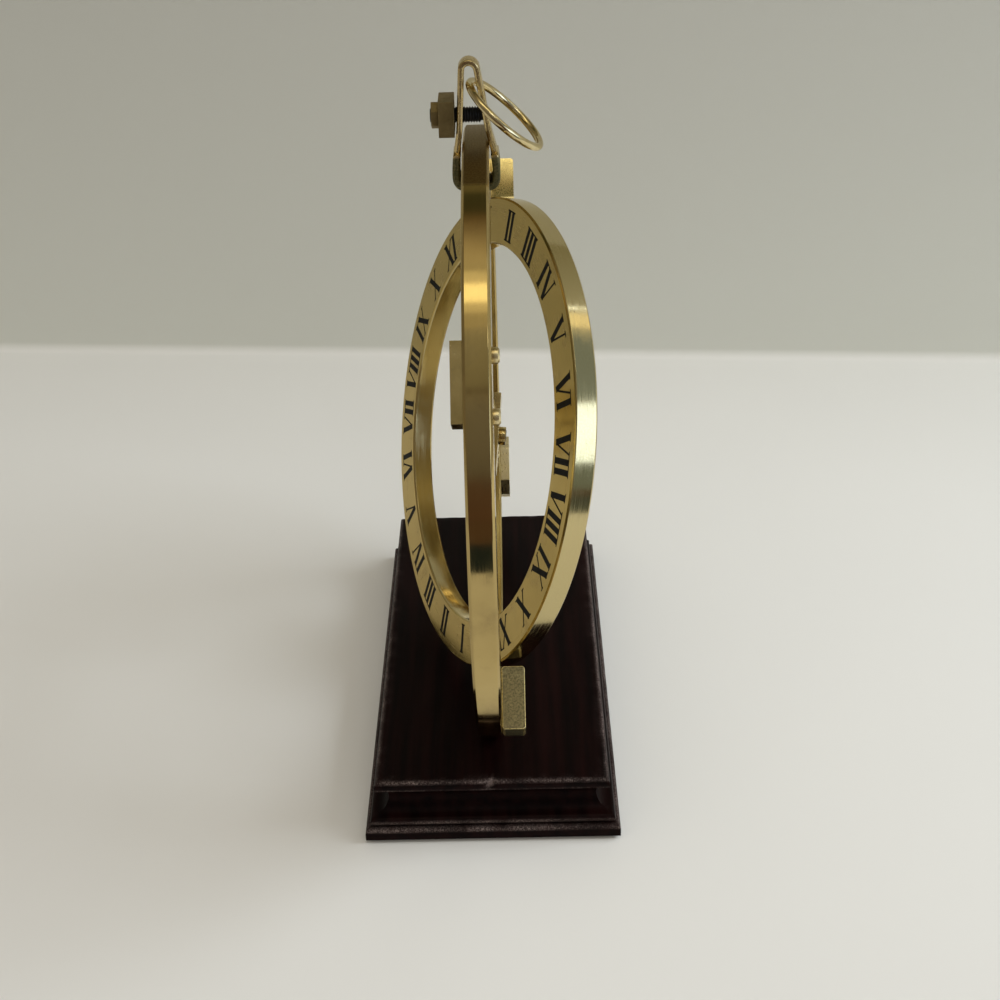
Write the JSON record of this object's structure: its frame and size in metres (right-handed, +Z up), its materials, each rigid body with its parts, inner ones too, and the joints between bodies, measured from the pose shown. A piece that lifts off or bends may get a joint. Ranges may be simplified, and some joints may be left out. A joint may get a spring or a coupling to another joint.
{
  "type": "ring dial",
  "caption": "Ring dial for telling the time by the sun: nested brass rings, a pivoted bridge with a sliding cursor, and a clasp with a hanging ring, on a moulded wooden base.",
  "frame": {"origin": "middle of the underside of the felt, on the table", "axes": "+Z up, Y along the base and the meridian ring's plane, camera side -Y, +X to the right"},
  "size_m": [0.0514, 0.125, 0.1431],
  "materials": {
    "mahogany": "dark polished, worn at the edges",
    "felt": "felt",
    "ring_brass": "polished and tarnished",
    "dial_brass": "satin",
    "block_brass": "brushed",
    "clasp_brass": "satin",
    "nut_brass": "dull",
    "wire_brass": "polished",
    "fitting_brass": "satin",
    "black_steel": "black oxide",
    "steel": "plain"
  },
  "bodies": {
    "stand": {"base_block": "mahogany", "base_felt": "felt", "fix_screw_front": "steel", "fix_screw_rear": "steel", "meridian_ring": "ring_brass", "hour_pivot_upper": "fitting_brass", "hour_pivot_lower": "fitting_brass", "stop_block_upper": "block_brass", "stop_block_lower": "block_brass", "stop_screw_upper": "fitting_brass", "stop_screw_lower": "fitting_brass", "keeper_front": "fitting_brass", "keeper_rear": "fitting_brass", "keeper_bolt_front_upper": "fitting_brass", "keeper_bolt_front_lower": "fitting_brass", "keeper_bolt_rear_upper": "fitting_brass", "keeper_bolt_rear_lower": "fitting_brass"},
    "hour_circle": {"hour_ring": "dial_brass"},
    "bridge": {"bridge": "fitting_brass"},
    "cursor": {"cursor_plate": "fitting_brass", "cursor_back": "fitting_brass", "cursor_screw": "black_steel", "cursor_nut": "fitting_brass"},
    "clasp": {"clasp": "clasp_brass", "clamp_screw": "black_steel"},
    "nut": {"clamp_nut": "nut_brass", "clamp_locknut": "nut_brass"},
    "loop": {"suspension_ring": "wire_brass"}
  },
  "joints": [
    {"name": "hour_ring_open", "type": "hinge", "parent": "stand", "child": "hour_circle", "pos_m": [0, 0, 0.0653], "axis": [0, 0.6074, 0.7944], "range_deg": [-16, 66.5]},
    {"name": "bridge_turn", "type": "hinge", "parent": "stand", "child": "bridge", "pos_m": [0, 0, 0.0653], "axis": [0, -0.7944, 0.6074], "continuous": true},
    {"name": "cursor_slide", "type": "slide", "parent": "bridge", "child": "cursor", "axis": [0, -0.7944, 0.6074], "range_m": [-0.0169, 0.0169]},
    {"name": "clasp_latitude", "type": "hinge", "parent": "stand", "child": "clasp", "pos_m": [0, 0, 0.0653], "axis": [1, 0, 0], "range_deg": [-30, 40]},
    {"name": "clamp_nut_turn", "type": "hinge", "parent": "clasp", "child": "nut", "pos_m": [0, 0, 0.1327], "axis": [1, 0, 0], "range_deg": [-180, 180]},
    {"name": "loop_swing", "type": "hinge", "parent": "clasp", "child": "loop", "pos_m": [-0.00077, 0, 0.1383], "axis": [0, -1, 0], "range_deg": [-22, 220]}
  ]
}
